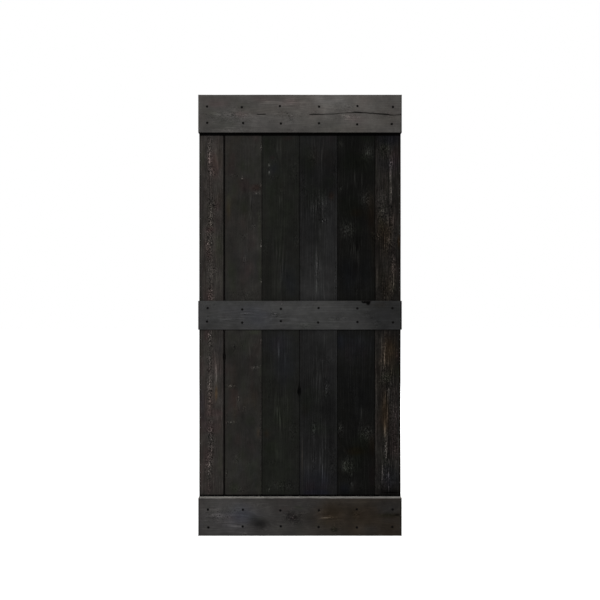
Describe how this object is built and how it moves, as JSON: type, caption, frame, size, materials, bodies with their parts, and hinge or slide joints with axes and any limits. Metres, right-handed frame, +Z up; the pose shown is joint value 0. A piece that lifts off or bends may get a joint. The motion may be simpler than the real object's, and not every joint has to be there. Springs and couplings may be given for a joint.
{
  "type": "sliding barn door slab",
  "caption": "Tall plank door of tongue-and-groove pine boards stained near-black, with a top, middle and bottom rail screwed across the front; unframed, ready for hanger straps.",
  "frame": {"origin": "middle of the bottom edge, halfway through the thickness", "axes": "+X across the door to the right as seen from the front, +Y to its back, +Z up"},
  "size_m": [0.984, 0.035, 2.134],
  "materials": {
    "board": "near-black stain on knotty pine, matt",
    "edge_board": "worn brown-black stain on knotty pine, matt",
    "rail": "charcoal stain on knotty pine, matt",
    "screw": "black phosphate steel"
  },
  "bodies": {
    "root": {"left_edge_board": "edge_board", "left_outer_board": "board", "left_inner_board": "board", "right_inner_board": "board", "right_outer_board": "board", "right_edge_board": "edge_board", "top_rail": "rail", "middle_rail": "rail", "bottom_rail": "rail", "top_rail_screws": "screw", "middle_rail_screws": "screw", "bottom_rail_screws": "screw"}
  },
  "joints": []
}
